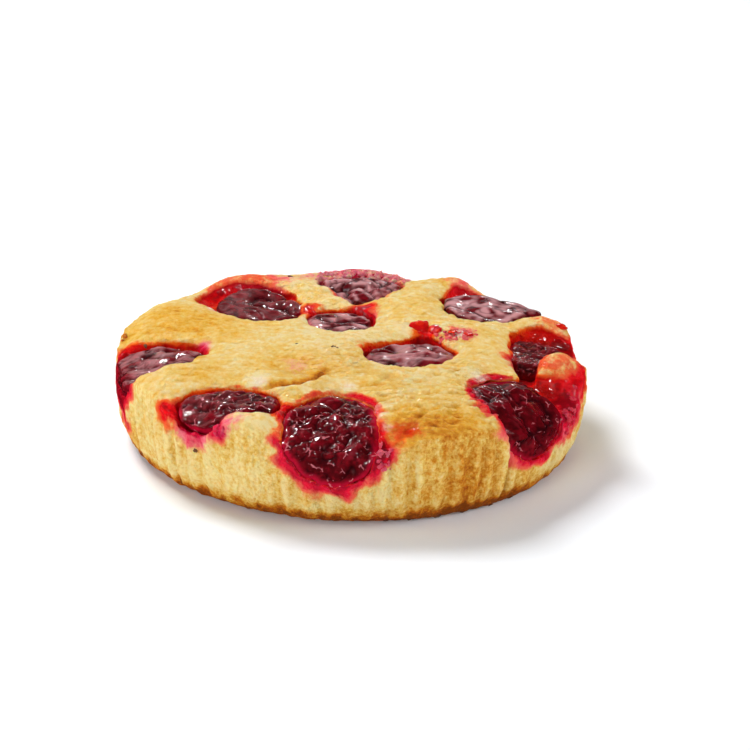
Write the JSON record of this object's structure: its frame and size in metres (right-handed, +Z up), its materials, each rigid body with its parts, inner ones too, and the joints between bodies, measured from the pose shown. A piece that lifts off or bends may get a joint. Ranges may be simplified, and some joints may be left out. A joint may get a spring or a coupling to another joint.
{
  "type": "small round cherry sponge cake",
  "caption": "Flat round sponge cake with a pleated wall and whole baked cherries sunk in its crust, some showing at the side.",
  "frame": {"origin": "centre of the flat base, on the surface that the cake stands on", "axes": "+Z up through the crust, -Y towards the side where the two largest cherries show at the wall, +X to the right of that side"},
  "size_m": [0.1008, 0.1006, 0.0233],
  "materials": {
    "sponge": "baked sponge crumb with a thin golden crust, stained red by juice round the fruit",
    "cherry": "wrinkled, wet skin of baked dark cherries",
    "juice": "set cherry juice, clear red and wet"
  },
  "bodies": {
    "root": {"sponge": "sponge", "cherry_left": "cherry", "cherry_back_left": "cherry", "cherry_small": "cherry", "cherry_back": "cherry", "cherry_middle": "cherry", "cherry_back_right": "cherry", "cherry_right": "cherry", "cherry_front_right": "cherry", "cherry_front_right_upper": "cherry", "cherry_front_left": "cherry", "cherry_front": "cherry"}
  },
  "joints": []
}
